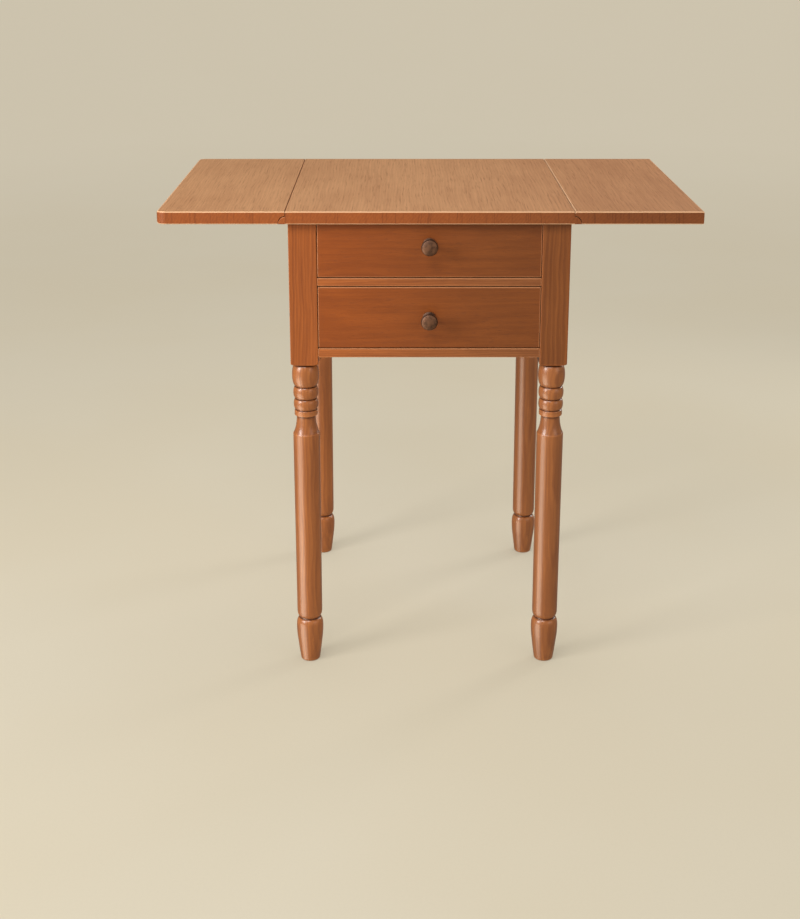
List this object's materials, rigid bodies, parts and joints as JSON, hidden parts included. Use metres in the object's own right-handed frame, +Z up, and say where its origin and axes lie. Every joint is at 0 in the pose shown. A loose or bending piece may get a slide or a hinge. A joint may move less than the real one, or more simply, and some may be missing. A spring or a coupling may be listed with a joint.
{
  "type": "drop-leaf sewing table",
  "caption": "Small drop-leaf sewing table with dovetailed drawers, turned legs, rule-jointed leaves and swinging fly brackets.",
  "frame": {"origin": "on the floor, below the middle of the table's bounding box", "axes": "+X to the right of the drawer fronts, along the raised leaves; drawers open towards -Y; +Z up"},
  "size_m": [0.804, 0.504, 0.74],
  "materials": {
    "leg_wood": "satin varnish over reddish cherry",
    "case_wood": "satin varnish over reddish cherry",
    "drawer_front_wood": "satin varnish over reddish cherry, grain across",
    "top_wood": "worn satin, paler than the case, grain front to back",
    "inner_wood": "unfinished secondary wood",
    "hinge_metal": "aged brass",
    "pin_metal": "dull drawn steel",
    "knob_metal": "dark bronze-brown, polished on the crown"
  },
  "bodies": {
    "case": {"leg_front_left": "leg_wood", "leg_rear_left": "leg_wood", "leg_front_right": "leg_wood", "leg_rear_right": "leg_wood", "side_apron_left": "case_wood", "side_apron_right": "case_wood", "back_apron": "case_wood", "bottom_front_rail": "case_wood", "drawer_divider_rail": "case_wood", "runner_upper_left": "inner_wood", "guide_upper_left": "inner_wood", "drawer_stop_upper_left": "inner_wood", "runner_lower_left": "inner_wood", "guide_lower_left": "inner_wood", "drawer_stop_lower_left": "inner_wood", "kicker_left": "inner_wood", "top_screw_front_left": "pin_metal", "top_screw_rear_left": "pin_metal", "runner_upper_right": "inner_wood", "guide_upper_right": "inner_wood", "drawer_stop_upper_right": "inner_wood", "runner_lower_right": "inner_wood", "guide_lower_right": "inner_wood", "drawer_stop_lower_right": "inner_wood", "kicker_right": "inner_wood", "top_screw_front_right": "pin_metal", "top_screw_rear_right": "pin_metal", "top_center_board": "top_wood", "hinge_plate_front_left": "hinge_metal", "hinge_pin_front_left": "pin_metal", "hinge_plate_rear_left": "hinge_metal", "hinge_pin_rear_left": "pin_metal", "hinge_plate_front_right": "hinge_metal", "hinge_pin_front_right": "pin_metal", "hinge_plate_rear_right": "hinge_metal", "hinge_pin_rear_right": "pin_metal", "fly_block_left": "case_wood", "fly_pin_left": "pin_metal", "fly_block_right": "case_wood", "fly_pin_right": "pin_metal"},
    "drawer_top": {"drawer_top_side_left": "inner_wood", "drawer_top_side_right": "inner_wood", "drawer_top_front": "drawer_front_wood", "drawer_top_back": "inner_wood", "drawer_top_bottom": "inner_wood", "drawer_top_knob": "knob_metal"},
    "drawer_bottom": {"drawer_bottom_side_left": "inner_wood", "drawer_bottom_side_right": "inner_wood", "drawer_bottom_front": "drawer_front_wood", "drawer_bottom_back": "inner_wood", "drawer_bottom_bottom": "inner_wood", "drawer_bottom_knob": "knob_metal"},
    "leaf_left": {"leaf_board_left": "top_wood", "hinge_strap_front_left": "hinge_metal", "hinge_strap_rear_left": "hinge_metal"},
    "leaf_right": {"leaf_board_right": "top_wood", "hinge_strap_front_right": "hinge_metal", "hinge_strap_rear_right": "hinge_metal"},
    "bracket_left": {"fly_bracket_left": "case_wood"},
    "bracket_right": {"fly_bracket_right": "case_wood"}
  },
  "joints": [
    {"name": "drawer_top_slide", "type": "slide", "parent": "case", "child": "drawer_top", "axis": [0, -1, 0], "range_m": [0, 0.3]},
    {"name": "drawer_bottom_slide", "type": "slide", "parent": "case", "child": "drawer_bottom", "axis": [0, -1, 0], "range_m": [0, 0.3]},
    {"name": "leaf_left_fall", "type": "hinge", "parent": "case", "child": "leaf_left", "pos_m": [-0.2125, 0, 0.72225], "axis": [0, 1, 0], "range_deg": [-90, 0]},
    {"name": "leaf_right_fall", "type": "hinge", "parent": "case", "child": "leaf_right", "pos_m": [0.2125, 0, 0.72225], "axis": [0, -1, 0], "range_deg": [-90, 0]},
    {"name": "bracket_left_swing", "type": "hinge", "parent": "case", "child": "bracket_left", "pos_m": [-0.1975, 0, 0.69], "axis": [0, 0, 1], "range_deg": [0, 90]},
    {"name": "bracket_right_swing", "type": "hinge", "parent": "case", "child": "bracket_right", "pos_m": [0.1975, 0, 0.69], "axis": [0, 0, -1], "range_deg": [0, 90]}
  ]
}
